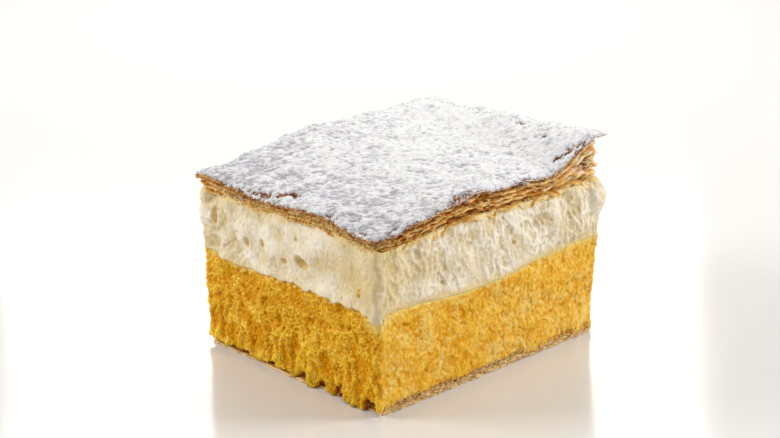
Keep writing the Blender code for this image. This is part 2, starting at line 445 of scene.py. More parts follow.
def cream_point(x, y, outward, level):
    """The cream's surface at a place round the cut and a level: the point, its painted shade and its smears.
    """
    left, _, front, _ = facing(outward)
    low, high = custard_top(x, y) - 0.3 * MM, cream_top(x, y) + (0.55 + 0.65 * left) * MM
    point = Vector((x, y, low + (high - low) * level))
    cut = min(1.0, left + front)
    belly = (2.3 - 1.7 * cut) * MM * math.sin(math.pi * (0.1 + 0.8 * level))
    slow = belly + 0.8 * MM * ripple(point, outward, 8, 3)
    slow += ramp(1 - level / 0.18) * (seam(x, y, outward) + 0.5 * left * MM - slow)
    slow += spots(CREAM_BULGES, point, 0.1)

    bare = point.copy()
    bent = warped(point, 3.2, 1.3, 31)
    rough = 0.35 + 0.65 * ramp(0.7 + 1.2 * lumps(point, 9, 30))
    net = 0.66 * crests(drawn(bent, 2.8, 0.35), 3.3, 2.2, 33)
    net += 0.45 * crests(drawn(bent, 2.4, -0.3), 1.9, 2.0, 34)
    net += 0.22 * lumps(drawn(bent, 1.5), 1.5, 46)
    relief = (0.45 + 0.30 * front - 0.37 * left) * rough * (net - 0.36)
    lumpy = 0.15 + 0.85 * rise(y, -8, 40)
    folds = crests(drawn(bent, 1.2, 0.8), 7.5, 4, 36) * ramp(1.3 - 1.2 * level)
    creases = crests(drawn(bent, 1.8, 0.6), 7.0, 9, 42)
    relief += left * lumpy * (0.5 * folds - 0.1 + 0.3 * lumps(drawn(bent, 1.4), 3.6, 35))
    relief -= left * lumpy * 0.4 * creases
    relief += (0.3 + 0.1 * left) * lumps(bent, 7.5, 32)
    relief += 0.08 * lumps(point, 0.8, 37) + 0.10 * lumps(point, 1.2, 38)
    relief += 0.10 * (curds(bent, 1.5, 43) - 0.5)
    relief -= spots(CREAM_POCKETS, point) / MM

    height = level * (high - low)
    wave = lumps(Vector((x, y, 0)), 5.5, 39) + 0.35 * lumps(Vector((x, y, 0)), 2.2, 41)
    droop = max(0.0, wave + 0.25) * ramp(1 - level / 0.2)
    to_corner = math.hypot(x + HALF_X, y + HALF_Y)
    corner = ramp(1.3 - to_corner / (2.7 * MM)) * ramp(1 - level / 0.25)
    relief += 0.4 * droop * left + corner * (0.3 + 0.35 * lumps(point, 1.6, 44))
    relief *= 1 - 0.9 * (1 - left) * (1 - corner) * ramp(1 - height / (1.8 * MM))
    relief -= 0.4 * ramp(1 - ((high - low) - height) / (0.8 * MM))
    point += outward * (slow + relief * MM)
    point.z -= (0.6 * droop * left + 0.25 * droop + 2.6 * corner) * MM

    # Painted shade: a band of the cream's smeared colour just under the pastry.
    shade_under_pastry = ramp(1 - (1 - level) / (0.15 + 0.09 * lumps(point, 3, 40)))
    by_custard = (1.0 - 0.5 * left) * ramp(1 - height / (3.2 * MM))
    by_corner = 0.40 * ramp(1.2 - to_corner / (26 * MM))
    # Painted shade: the cream's smeared colour laid inside the torn air pockets, more where they are deeper.
    shade_in_pocket = 0.8 * spots(CREAM_POCKETS, bare) / MM
    smeared = max(shade_under_pastry, by_custard, by_corner, shade_in_pocket, spots(CUSTARD_DABS, point) / MM)
    # Painted shade: the cream is coloured darker where its relief sinks in and near the front corner.
    return point, min(1.3, max(0.0, 0.38 + 0.5 * by_corner - relief / 1.5)), smeared


def layer_piece(name, material, node, surface, floor, ceiling, cell, rows):
    """A thick layer, whose cut sides are a surface of place, way out and level."""
    mesh = band(cell * MM, rows)
    shape_band(mesh, rows, lambda x, y, outward, row: surface(x, y, outward, row / rows))
    close_ends(mesh, floor, ceiling)
    finish_piece(mesh, name, material, node)


# ---- pastry leaves

# The edge of a leaf, from the inner top to the torn lip and back below:
# how far in from the lip, and how high in leaf thicknesses.
LIP_TOP = ((7.0, 0.5), (4.0, 0.5), (2.2, 0.5), (1.2, 0.5), (0.5, 0.48), (0.1, 0.26))
LIP = (*LIP_TOP, *((back, -up) for back, up in reversed(LIP_TOP)))
LIP_DEPTH = 7.5 * MM

# The leaves under the crust: how high each lies, as a share of the room, how far it stands out,
# how dark it is baked, and how much icing sugar lies on it. The leaves set back from the cut are
# baked darkest, which also paints the shade in the gaps between the leaves.
TOP_LEAVES = (
    (0.03, 1.10, 0.32, 0.02),
    (0.19, -0.35, 1.00, 0.00),
    (0.34, 0.40, 0.15, 0.30),
    (0.50, 0.10, 0.40, 0.25),
    (0.65, -0.55, 1.10, 0.00),
    (0.79, 0.25, 0.35, 0.45),
    (0.92, -0.05, 0.90, 0.35),
)
BOTTOM_LEAVES = (
    (0.13, -0.10, 0.05, 0.15),
    (0.34, 0.10, 0.25, 0.10),
    (0.55, -0.05, 0.15, 0.05),
    (0.76, 0.05, 0.55, 0.00),
    (0.92, -0.10, 0.40, 0.00),
)


def torn_edge(flat, cut, seed):
    """How far a leaf's lip wanders: torn in waves and steps, or only grainy where it was cut."""
    step = noise.cell(warped(flat, 4, 1.5, seed) / (4.2 * MM) + Vector((seed, 0, 0)))
    torn = 0.24 * lumps(flat, 1.9, seed) + 0.12 * lumps(flat, 0.9, seed + 2)
    torn += 0.65 * (step - 0.5)
    grainy = 0.32 * lumps(flat, 1.1, seed + 11) + 0.24 * lumps(flat, 0.7, seed + 12)
    return (torn + (grainy - torn) * cut) * MM


def leaf_ring(name, material, height, reach, seed, thick, browning, sugared, calm=1.0, droop=0.0):
    """One baked leaf, of which only the ring near the cut is made.

    height(x, y) is its middle surface, reach(x, y, outward) how far its lip stands out and
    thick(x, y) its thickness; browning(x, y, outward) is how dark it is coloured, baked brown with
    the painted shade and glow that the callers add, sugared(x, y) how much icing sugar lies on its
    lip, with the painted glow that the top leaves add under the lifted corner, calm how much it
    waves, and droop how far its flakes hang.
    """
    rows = len(LIP) - 1
    mesh = band(0.38 * MM, rows)

    def place(x, y, outward, row):
        back, up = LIP[row]
        back *= MM
        left = max(0.0, -outward.x)
        flat = Vector((x, y, seed))
        lip = reach(x, y, outward) + calm * torn_edge(flat, left, seed)
        at_x, at_y = inset(x, y, back)
        point = Vector((at_x, at_y, 0)) + outward * lip * (1 - back / LIP_DEPTH)
        outer = 1 - ramp(back / (2 * MM))
        blister = 0.15 * lumps(point, 2.8, seed + 4) + 0.10 * lumps(point, 1.1, seed)
        curl = 0.20 * lumps(flat, 4, seed + 5) * outer * (1 - 0.7 * left)
        teeth = ramp((lumps(flat, 5.5, seed + 10) + 0.25) / 0.7) * outer * (1 - 0.8 * left)
        full = thick(x, y) * (1 + 0.5 * lumps(point, 1.8, seed + 6))
        level = height(at_x, at_y) + calm * (blister + curl) * MM - droop * teeth
        point.z = max(0.02 * MM, level + up * full)
        # Painted shade: the leaf is darker inward from its lip, into the gap between the leaves.
        baked = browning(x, y, outward) + 0.3 * (1 - outer) + 0.36 * lumps(flat, 2.6, seed + 8)
        baked += 0.3 * lumps(flat, 0.9, seed + 15)
        patchy = ramp(0.45 + lumps(flat, 2.0, seed + 9) + 0.5 * lumps(flat, 0.8, seed + 13))
        return point, min(1.2, max(0.0, baked)), sugared(x, y) * patchy * (up > -0.3) * outer

    shape_band(mesh, rows, place)
    join_ends(mesh)
    finish_piece(mesh, name, material)


def leaf_room(x, y):
    """The height of the room for leaves between the cream and the crust."""
    return crust_top(x, y) + corner_moves(x, y).z - CRUST_LEAF - cream_top(x, y) - 0.2 * MM


def lifted(x, y):
    """1 where the crust lifts and opens the stack."""
    return rise(leaf_room(x, y), 6, 5)


def top_leaves(material):
    """The leaves between the cream and the crust."""
    for leaf, (share, usual, browning, sugared) in enumerate(TOP_LEAVES):
        seed = 40 + 5.3 * leaf

        def height(x, y):
            flat = Vector((x, y, 0))
            waver = 0.5 * lumps(flat, 13, seed) + 0.25 * lumps(flat, 5, seed + 1)
            level = min(0.98, max(0.02, share + waver / len(TOP_LEAVES)))
            return cream_top(x, y) + 0.2 * MM + leaf_room(x, y) * level

        def reach(x, y, outward):
            flat = Vector((x, y, 0))
            left = max(0.0, -outward.x)
            broken = 2.0 * MM * ramp((lumps(flat, 8, seed + 7) - 0.4) / 0.3) * (share > 0.1)
            wander = 0.5 * MM * lumps(flat, 6, seed + 3)
            to_tip = corner_moves(x, y).to_2d().dot(outward.to_2d())
            loose = (usual * MM + wander - broken) * (1 - 0.8 * left)
            return loose + 0.25 * MM * left + to_tip * ramp(0.3 + share)

        def thick(x, y):
            return 0.55 * MM * (1 + 1.2 * lifted(x, y))

        def baked(x, y, outward):
            """Darkest near the front corner; under the lifted one it is made pale golden, a painted glow of
            light through the leaves.
            """
            fading = 0.55 * max(0.0, -outward.y) * rise(x, -12, 25)
            return browning * (1 - 0.8 * lifted(x, y)) * (1 - fading) - 0.15 * lifted(x, y)

        def dust_and_glow(x, y):
            """More of the icing sugar has fallen on the leaves towards +X; under the lifted corner the
            sugar's colour is added as a painted glow.
            """
            return sugared * (0.7 + 1.2 * rise(x, -10, 40)) + 0.6 * lifted(x, y)

        leaf_ring(
            f"top_leaf_{leaf + 1}", material, height, reach, seed,
            thick, baked, dust_and_glow, droop=(1.9 * MM if leaf == 0 else 0.0),
        )


def bottom_leaves(material):
    """The pressed leaves under the custard, the lowest of which shows as a pale line at -X."""
    for leaf, (share, usual, browning, sugared) in enumerate(BOTTOM_LEAVES):
        seed = 84 + 3.7 * leaf

        def height(x, y):
            waver = 0.14 * MM * lumps(Vector((x, y, 0)), 6, seed) * math.sin(math.pi * share)
            return max(0.36 * MM, bottom_pastry_top(x, y) * share + waver)

        def reach(x, y, outward):
            shown = (leaf == 0) * rise(y, -10, 5)
            tucked = (1.6 - 1.5 * shown) * MM * max(0.0, -outward.x)
            return usual * MM - tucked + 0.25 * MM * lumps(Vector((x, y, 0)), 5, seed + 6)

        def baked(x, y, outward):
            """Dark red under the custard at -X, all but the lowest leaf: browned, and painted with the shade
            under the custard's foot.
            """
            return browning + (0.2 if leaf == 0 else 1.0) * max(0.0, -outward.x)

        leaf_ring(
            f"bottom_leaf_{leaf + 1}", material, height, reach, seed,
            lambda x, y: 0.62 * MM, baked, lambda x, y: sugared, calm=0.5,
        )


def filler(name, material, floor, ceiling, depth, baked, node=None):
    """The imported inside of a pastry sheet, set in behind the leaves' lips."""
    rows = 8
    mesh = band(1.2 * MM, rows)

    def place(x, y, outward, row):
        at_x, at_y = inset(x, y, depth)
        low, high = floor(at_x, at_y), ceiling(at_x, at_y)
        point = Vector((at_x, at_y, low + (high - low) * row / rows))
        point += outward * 0.5 * MM * lumps(point, 2.5, 7)
        # The given darkness paints the shade deep in behind the leaves.
        return point, baked, 0.0

    shape_band(mesh, rows, place)
    close_ends(mesh, floor, ceiling)
    finish_piece(mesh, name, material, node)


# ---- crust and icing sugar

# How the crust's corners depart from the square: corner x, corner y, spread, then x, y and z moves.
CRUST_CORNERS = (
    mm(-45.5, 39, 6, -0.7, 1.6, 1.2),
    mm(-45.5, -39, 4, 1.6, 1.6, 0.2),
    mm(45.5, 39, 12, 1.4, 0.2, 0.5),
    mm(45.5, -39, 5, 0.3, -0.2, 0.2),
)

# Bare, browned places in the sugar: x, y, half length along x, half width along y.
BARE_SPOTS = (
    mm(-43.0, 13.5, 1.2, 4.0), mm(-41.0, 7.6, 1.3, 2.2), mm(-39.6, 4.2, 1.1, 1.7),
    mm(-45.6, 23, 0.9, 4.0), mm(-45.2, -6, 0.3, 2.4), mm(-44.4, -18, 0.6, 1.4),
    mm(-43.6, -31, 0.6, 1.6), mm(-39, -37.4, 1.8, 0.5), mm(-12, -38.6, 2.8, 1.2),
    mm(-7.5, -37.6, 1.7, 0.9), mm(32.6, -34.8, 1.5, 0.8), mm(36, -36.4, 2.0, 1.0),
    mm(39.6, -37.4, 1.8, 1.0), mm(14, -39, 2.2, 0.4),
    mm(42.6, -9, 1.0, 1.5), mm(39.0, -23, 0.9, 0.6),
    mm(46.5, 13, 0.6, 1.2),
)
SUGAR = 0.5 * MM            # usual depth of the icing sugar
SWEEP = Vector((0.74, -0.67, 0))    # the way the sieve was swept


def corner_moves(x, y):
    """How the crust's corners depart from the square, as a move along x, y and z."""
    moves = Vector((0, 0, 0))
    for at_x, at_y, spread, *move in CRUST_CORNERS:
        moves += math.exp(-((x - at_x) ** 2 + (y - at_y) ** 2) / spread ** 2) * Vector(move)
    return moves


def crust_reach(x, y, outward):
    """How far the crust stands out of the cut, most of all where it hangs over at +X."""
    right = facing(outward)[1]
    over = CRUST_OVERHANG * right + 0.5 * MM * (1 - right)
    flat = Vector((x, y, 0))
    ragged = 0.45 * lumps(flat, 8, 4) + 0.24 * lumps(flat, 2.2, 5) + 0.12 * lumps(flat, 1, 6)
    return over + ragged * MM


def crust_surface(x, y):
    """The baked face under the sugar, with blisters."""
    flat = Vector((x, y, 0))
    blisters = 0.40 * lumps(flat, 9, 51) + 0.25 * lumps(flat, 3.4, 52)
    return crust_top(x, y) - SUGAR + blisters * MM + corner_moves(x, y).z


def sugar_lie(x, y, margin):
    """How the icing sugar lies: its depth, ragged at the rim and none on bare spots, and its painted shade,
    darker in its low streaks and troughs and lighter towards +X.
    """
    flat = Vector((x, y, 0))
    bent = warped(flat, 5, 1.5, 70)
    drifts = 0.65 * crests(swept(bent, 1.6), 8, 1.6, 71)
    drifts += 0.45 * crests(swept(bent, 2.0), 3.4, 1.8, 72) + 0.25 * lumps(bent, 6, 75)
    streaks = 0.26 * lumps(swept(bent, 2.6), 1.5, 73)
    streaks += 0.44 * lumps(swept(flat, 2.0), 0.85, 77)
    thicker = 0.32 * rise(x, -45, 80)
    depth = max(0.25 * MM, SUGAR * (0.55 + thicker + drifts + streaks))
    # Painted shade: the sugar is coloured darker where its drifts and streaks are low.
    shade_and_browning = ramp(0.49 - thicker - 0.9 * streaks - 0.45 * (drifts - 0.4))
    ragged = margin + (0.40 * lumps(flat, 1.6, 78) + 0.30 * lumps(flat, 0.85, 79)) * MM
    depth -= 1.0 * MM * (1 - rise(ragged, -0.1, 0.5))
    for spot_x, spot_y, half_x, half_y in BARE_SPOTS:
        away = math.hypot((x - spot_x) / half_x, (y - spot_y) / half_y)
        if away < 3.0:
            uneven = away + 0.9 * lumps(flat, 1.1, 74)
            depth -= 1.6 * MM * (1 - ramp((uneven - 0.5) / 1.1))
    return depth, shade_and_browning


def sheet(cell, drawn_in, lower, upper):
    """A closed sheet over the whole slice, of cells about cell wide, between two surfaces.

    lower and upper give height, hollow and smear for x, y and the distance in from the rim;
    drawn_in is how far the rim stays inside the crust's own.
    """
    mesh = bare_mesh()
    shade_and_browning, smear_shade_and_glow = kept_values(mesh)
    across, deep = round(LENGTH / cell), round(WIDTH / cell)
    bmesh.ops.create_grid(mesh, x_segments=across, y_segments=deep, size=0.5)
    base = list(mesh.verts)
    grown = bmesh.ops.extrude_face_region(mesh, geom=list(mesh.faces), use_keep_orig=True)["geom"]
    top = set(item for item in grown if isinstance(item, bmesh.types.BMVert))
    for vert in base + list(top):
        across, deep = vert.co.x * LENGTH, vert.co.y * WIDTH
        out_x, out_y = math.copysign(1, across), math.copysign(1, deep)
        from_x, from_y = HALF_X - abs(across), HALF_Y - abs(deep)
        reach_x = crust_reach(out_x * HALF_X, deep, Vector((out_x, 0, 0))) - drawn_in
        reach_y = crust_reach(across, out_y * HALF_Y, Vector((0, out_y, 0))) - drawn_in
        x = across + out_x * reach_x * (1 - ramp(from_x / (6 * MM)))
        y = deep + out_y * reach_y * (1 - ramp(from_y / (6 * MM)))
        moves = corner_moves(across, deep)
        x, y = x + moves.x, y + moves.y
        surface = upper if vert in top else lower
        height, vert[shade_and_browning], vert[smear_shade_and_glow] = surface(x, y, min(from_x, from_y))
        vert.co = (x, y, height)
    return mesh


def crust_piece(material):
    """The topmost baked leaf, which carries the sugar."""

    def thickness(x, y):
        """The leaf is thin where it curls up at +X, -Y, and blunt at -X, +Y."""
        to_tip = math.hypot(x - HALF_X, y + HALF_Y)
        to_blunt = math.hypot(x + HALF_X, y - HALF_Y)
        thin, blunt = ramp(1.4 - to_tip / (16 * MM)), ramp(1.4 - to_blunt / (7 * MM))
        return CRUST_LEAF * (0.55 - 0.25 * thin + 0.6 * blunt)

    def browned(x, y, margin):
        """How dark it is baked: ochre and grainy where the knife came down at -X."""
        flat = Vector((x, y, 0))
        knife = rise(-x, 40, 4) * (1 - ramp(margin / (1.5 * MM)))
        blunt = ramp(1.4 - math.hypot(x + HALF_X, y - HALF_Y) / (8 * MM))
        uneven = 0.3 * lumps(flat, 3, 54) + 0.4 * knife * lumps(flat, 1.3, 55)
        return min(1.15, max(0.0, 0.98 - 0.40 * knife - 0.3 * blunt + uneven))

    def upper(x, y, margin):
        lip = 0.2 * MM * (1 - ramp(margin / (0.7 * MM)))
        dust = 0.10 + 0.5 * ramp(1 - margin / MM) * rise(x, -44, 4)
        return crust_surface(x, y) - lip, browned(x, y, margin), dust

    def lower(x, y, margin):
        lip = 0.15 * MM * (1 - ramp(margin / (0.7 * MM)))
        flat = Vector((x, y, 0))
        blister = 0.12 * MM * lumps(flat, 2, 53)
        dust = 0.1 + 0.3 * ramp(1 - margin / MM) * rise(x, -44, 4)
        level = crust_surface(x, y) - thickness(x, y) + lip + blister
        return level, 0.9 * browned(x, y, margin), dust

    mesh = sheet(0.6 * MM, 0.0, lower, upper)
    finish_piece(mesh, "crust", material, "top_pastry")


def sugar_piece(material):
    """The icing sugar lying on the crust."""

    def upper(x, y, margin):
        depth, shade_and_browning = sugar_lie(x, y, margin)
        thin = 0.7 * (1 - ramp(depth / (0.24 * MM))) * (0.35 + 0.65 * ramp(margin / (1.4 * MM)))
        return crust_surface(x, y) + depth, shade_and_browning, thin

    def lower(x, y, margin):
        return crust_surface(x, y) - 0.35 * MM, 1.0, 0.8

    mesh = sheet(0.42 * MM, 0.25 * MM, lower, upper)
    finish_piece(mesh, "icing_sugar", material)


# ---- flakes and crumbs


def between(least, most):
    """A random size, in millimetres."""
    return random.uniform(least, most) * MM


def ball(mesh):
    """A small round shape, one unit across."""
    bmesh.ops.create_icosphere(mesh, subdivisions=1, radius=0.5)


def leaflet(mesh):
    """A flat closed shape, one unit each way, whose second half of points is its upper face."""
    bmesh.ops.create_grid(mesh, x_segments=4, y_segments=3, size=0.5)
    bmesh.ops.extrude_face_region(mesh, geom=list(mesh.faces), use_keep_orig=True)


def copies(count, make):
    """A mesh of count copies of a small closed shape, and the points of each copy."""
    mesh = bare_mesh()
    make(mesh)
    size = len(mesh.verts)
    while len(mesh.verts) < size * count:
        bmesh.ops.duplicate(mesh, geom=[*mesh.verts, *mesh.edges, *mesh.faces])
    verts = list(mesh.verts)
    bmesh.ops.delete(mesh, geom=verts[size * count:], context="VERTS")
    return mesh, [verts[start:start + size] for start in range(0, size * count, size)]


def set_flake(mesh, verts, place, size, turn, tilt, roll, thickness, baked, dust, seed):
    """Makes one leaflet a thin, curled, ragged flake of pastry at its place."""
    shade_and_browning, smear_shade_and_glow = kept_values(mesh)
    set_down = (
        Matrix.Translation(place) @ Matrix.Rotation(turn, 4, "Z")
        @ Matrix.Rotation(tilt, 4, "X") @ Matrix.Rotation(roll, 4, "Y")
    )
    for order, vert in enumerate(verts):
        upper = 2 * order >= len(verts)
        x, y = vert.co.x * size[0], vert.co.y * size[1]
        flat = Vector((x, y, seed * MM))
        ragged = 1 + 0.35 * lumps(flat, 0.9, seed)
        curl = 0.7 * (x * x + 0.5 * y * y) / size[0] + 0.12 * MM * lumps(flat, 0.8, seed)
        vert.co = set_down @ Vector((x * ragged, y * ragged, curl + upper * thickness))
        vert[shade_and_browning] = min(1.0, max(0.0, baked + 0.3 * lumps(flat, 1.2, seed + 3)))
        vert[smear_shade_and_glow] = dust


def set_crumb(mesh, verts, place, size, baked, dust):
    """Makes one ball a small angular crumb at its place."""
    shade_and_browning, smear_shade_and_glow = kept_values(mesh)
    stretch = size * Vector([random.uniform(0.6, 1.3) for _ in range(3)])
    turn = Matrix.Rotation(random.uniform(0, math.tau), 3, random.choice(("X", "Y", "Z")))
    for vert in verts:
        vert.co = place + turn @ (vert.co * stretch)
        vert[shade_and_browning], vert[smear_shade_and_glow] = baked, dust


def on_cut(side, along, out):
    """A place out of one cut side: its x and y."""
    x = LENGTH * (along - 0.5) if side in ("front", "back") else HALF_X
    y = WIDTH * (along - 0.5) if side in ("left", "right") else HALF_Y
    x, y = (-x if side == "left" else x), (-y if side == "front" else y)
    outward = outward_at(x, y)
    return x + outward.x * out, y + outward.y * out


def custard_grains_piece(material):
    """Grains and strands that stand out of the custard's broken -X side, thickest at its foot."""
    mesh, grains = copies(4600, ball)
    for count, verts in enumerate(grains):
        level = 0.98 * random.random() if count % 4 else 0.12 * random.random()
        y = random.uniform(-0.5, 0.5 if count % 4 else 0.1) * (WIDTH - 2 * CORNER)
        point, shade_and_browning, smear_shade_and_glow = custard_point(-HALF_X, y, Vector((-1, 0, 0)), level)
        if shade_and_browning > 1.05:
            continue
        size = between(0.28, 0.55) * (1.4 if count % 9 == 0 else 1.0)
        point.z = max(0.7 * size, point.z)
        # The grains carry a lighter share of the custard's painted shade at their place.
        set_crumb(mesh, verts, point, size, max(0.0, 0.6 * shade_and_browning - 0.15), 0.7 * smear_shade_and_glow)
    for count, verts in enumerate(grains[:110]):
        middle, half, level = ((-31.5, 0.6, 0.27), (-24.5, 0.3, 0.06))[count % 5 == 0]
        y, level = random.gauss(middle, half) * MM, level + random.gauss(0, 0.04)
        point, shade_and_browning, smear_shade_and_glow = cream_point(-HALF_X, y, Vector((-1, 0, 0)), max(0.0, level))
        point.x -= 0.15 * MM
        set_crumb(mesh, verts, point, between(0.4, 0.75), random.uniform(0.0, 0.3), 0.2)
    unused = [vert for verts in grains for vert in verts if abs(verts[0].co.x) < 0.5 * MM]
    bmesh.ops.delete(mesh, geom=unused, context="VERTS")
    finish_piece(mesh, "custard_grains", material)


def flakes_piece(material):
    """Broken flakes that stick out between the top leaves."""
    mesh, flakes = copies(160, leaflet)
    for count, verts in enumerate(flakes):
        side = random.choice(("front", "front", "left", "back", "right"))
        x, y = on_cut(side, random.uniform(0.03, 0.95), between(-1.6, 0.2))
        share = random.random() ** 1.3
        place = Vector((x, y, cream_top(x, y) + 0.2 * MM + leaf_room(x, y) * share))
        long = random.uniform(0.9, 2.6) * (0.6 if side == "left" else 1.0)
        size = (long * MM, long * random.uniform(0.5, 0.8) * MM)
        set_flake(
            mesh, verts, place, size, random.uniform(0, math.tau), random.gauss(0, 0.2),
            random.gauss(0, 0.2), between(0.12, 0.22),
            random.uniform(0.0, 0.4), random.choice((0.0, 0.0, 0.3)), count,
        )
    finish_piece(mesh, "pastry_flakes", material)


def corner_flakes_piece(material):
    """Large, thin flakes under the lifted corner, painted pale with the sugar's colour for a glow of light
    through them.
    """
    mesh, flakes = copies(60, leaflet)
    for count, verts in enumerate(flakes):
        x = HALF_X - 2.2 * MM - abs(random.gauss(0, 2.4)) * MM
        y = -HALF_Y + 1.0 * MM + abs(random.gauss(0, 5.0)) * MM
        floor, room = cream_top(x, y) + 0.5 * MM, leaf_room(x, y) - 2.4 * MM
        place = Vector((x, y, floor + room * random.random()))
        long = random.uniform(2.5, 4.2)
        size = (long * MM, long * random.uniform(0.6, 0.9) * MM)
        # Painted glow: the flakes are barely browned and carry the pale sugar colour.
        set_flake(
            mesh, verts, place, size, random.uniform(0, math.tau), random.gauss(0, 0.12),
            random.gauss(0, 0.12), between(0.25, 0.45), random.uniform(0.0, 0.1),
            0.5, count,
        )
    finish_piece(mesh, "corner_flakes", material)


def top_crumbs_piece(material):
    """Crumbs along the cut edges of the top leaves, thick along the -X side where the knife came down."""
    mesh, crumbs = copies(2000, ball)
    for count, verts in enumerate(crumbs):
        side = "left" if count % 10 < 7 else random.choice(("front", "back", "right"))
        x, y = on_cut(side, random.uniform(0.02, 0.96), between(-0.3, 0.4))
        share = random.random()
        room = leaf_room(x, y) + (0.8 * CRUST_LEAF if side == "left" else 0.0)
        place = Vector((x, y, cream_top(x, y) + 0.4 * MM + room * share))
        size = between(0.25, 0.6)
        dark = 0.2 + 0.6 * (share > 0.7) + random.uniform(-0.25, 0.3)
        set_crumb(mesh, verts, place, size, max(0.0, dark), random.choice((0.0, 0.0, 0.6 * (share > 0.8))))
    finish_piece(mesh, "top_crumbs", material)


def bottom_crumbs_piece(material):
    """Small crumbs and browned specks along the edge of the bottom sheet."""
    mesh, crumbs = copies(1300, ball)
    sides = ("front", "front", "front", "back", "right")
    for count, verts in enumerate(crumbs):
        side = sides[count % 5]
        out = random.uniform(-0.3, 0.25) - (side != "front") * 1.0
        x, y = on_cut(side, random.uniform(0.02, 0.97), out * MM)
        size = between(0.25, 0.65)
        share = random.random() ** 0.6
        place = Vector((x, y, max(0.7 * size, 1.15 * share * BOTTOM_SHEET)))
        dark = random.uniform(0.5, 0.95) if random.random() < 0.8 * share - 0.1 else 0.15
        set_crumb(mesh, verts, place, size, dark, 0.1)
    finish_piece(mesh, "bottom_crumbs", material)


def strand_piece(material):
    """A thin torn strand of pastry that hangs from the foot of the front corner to the plate."""
    mesh, strands = copies(1, leaflet)
    place = Vector((-HALF_X - 1.0 * MM, -HALF_Y - 1.2 * MM, 1.3 * MM))
    size = mm(2.5, 0.34)
    set_flake(mesh, strands[0], place, size, math.radians(-43), 0.0, math.radians(76), 0.2 * MM, 0.0, 0.8, 3)
    finish_piece(mesh, "corner_strand", material)


def sugar_grains_piece(material):
    """Loose clots of icing sugar, thickest along the crust's rim."""
    mesh, grains = copies(2000, ball)
    for count, verts in enumerate(grains):
        if count % 2:
            inner = abs(random.gauss(0, 1.2)) * MM
            side = random.choice(("front", "left", "back", "right"))
            x, y = on_cut(side, random.uniform(0.01, 0.99), -inner - 0.1 * MM)
            moves = corner_moves(x, y)
            x, y = x + moves.x, y + moves.y
        else:
            x, y = random.uniform(-0.49, 0.49) * LENGTH, random.uniform(-0.49, 0.49) * WIDTH
            inner = 3 * MM
        size = between(0.25, 0.55)
        depth = max(0.0, sugar_lie(x, y, inner)[0])
        place = Vector((x, y, crust_surface(x, y) + depth + 0.1 * size))
        set_crumb(mesh, verts, place, size, random.uniform(0.0, 0.3), 0.0)
    finish_piece(mesh, "sugar_grains", material)


def speck(mesh, place, size):
    """One small dark grain of vanilla seed."""
    made = bmesh.ops.create_icosphere(mesh, subdivisions=1, radius=size / 2)["verts"]
    bmesh.ops.scale(mesh, vec=(1, 0.7, 0.8), verts=made)
    bmesh.ops.translate(mesh, vec=place, verts=made)


def specks_piece(material):
    """A few dark specks on the custard's cut sides."""
    mesh = bare_mesh()
    speck(mesh, Vector(mm(-29.2, -39.0, 16.4)), 0.9 * MM)
    for _ in range(9):
        size = between(0.3, 0.45)
        height = between(6, 28)
        if random.random() < 0.5:
            speck(mesh, Vector((between(-40, 40), -38.9 * MM, height)), size)
        else:
            speck(mesh, Vector((-45.4 * MM, between(-34, 34), height)), size)
    finish_piece(mesh, "vanilla_specks", material)


# ---- finishes


KINDS = {1: "NodeSocketFloat", 3: "NodeSocketVector", 4: "NodeSocketColor"}
MIX_INPUTS, MIX_OUTPUT = (0, 6, 7), 2       # a mix node's share and two colours, and its colour


def new_group(name, inputs, outputs):
    """An empty shader group: its inputs by first value, its outputs by how many numbers they are."""
    group = bpy.data.node_groups.new(name, "ShaderNodeTree")
    for label, first in inputs.items():
        count = len(first) if isinstance(first, tuple) else 1
        socket = group.interface.new_socket(label, in_out="INPUT", socket_type=KINDS[count])
        socket.default_value = first
    for label, count in outputs.items():
        group.interface.new_socket(label, in_out="OUTPUT", socket_type=KINDS[count])
    given = group.nodes.new("NodeGroupInput").outputs
    return group, given, group.nodes.new("NodeGroupOutput").inputs


def feed(socket, value):
    """Links another socket to this one, or sets it to a value."""
    if isinstance(value, bpy.types.NodeSocket):
        socket.id_data.links.new(value, socket)
    else:
        socket.default_value = value


def texture(tree, coordinates, scale, detail, roughness):
    """A noise texture read at coordinates."""
    node = tree.nodes.new("ShaderNodeTexNoise")
    values = {"Vector": coordinates, "Scale": scale, "Detail": detail, "Roughness": roughness}
    for label, value in values.items():
        feed(node.inputs[label], value)
    return node.outputs["Fac"]


def calculate(tree, first, operation, second):
    """The result of an operation on two values, each a number or a socket."""
    node = tree.nodes.new("ShaderNodeMath")
    node.operation = operation
    feed(node.inputs[0], first)
    feed(node.inputs[1], second)
    return node.outputs[0]


def blend(tree, share, first, second):
    """The mix of two colours."""
    node = tree.nodes.new("ShaderNodeMix")
    node.data_type = "RGBA"
    for socket, value in zip(MIX_INPUTS, (share, first, second)):
        feed(node.inputs[socket], value)
    return node.outputs[MIX_OUTPUT]


def spread(tree, value, low, high, to_low=0.0, to_high=1.0):
    """A smooth step of a value, from low to high, between two results."""
    node = tree.nodes.new("ShaderNodeMapRange")
    node.interpolation_type = "SMOOTHSTEP"
    for socket, number in zip(node.inputs, (value, low, high, to_low, to_high)):
        feed(socket, number)
    return node.outputs["Result"]


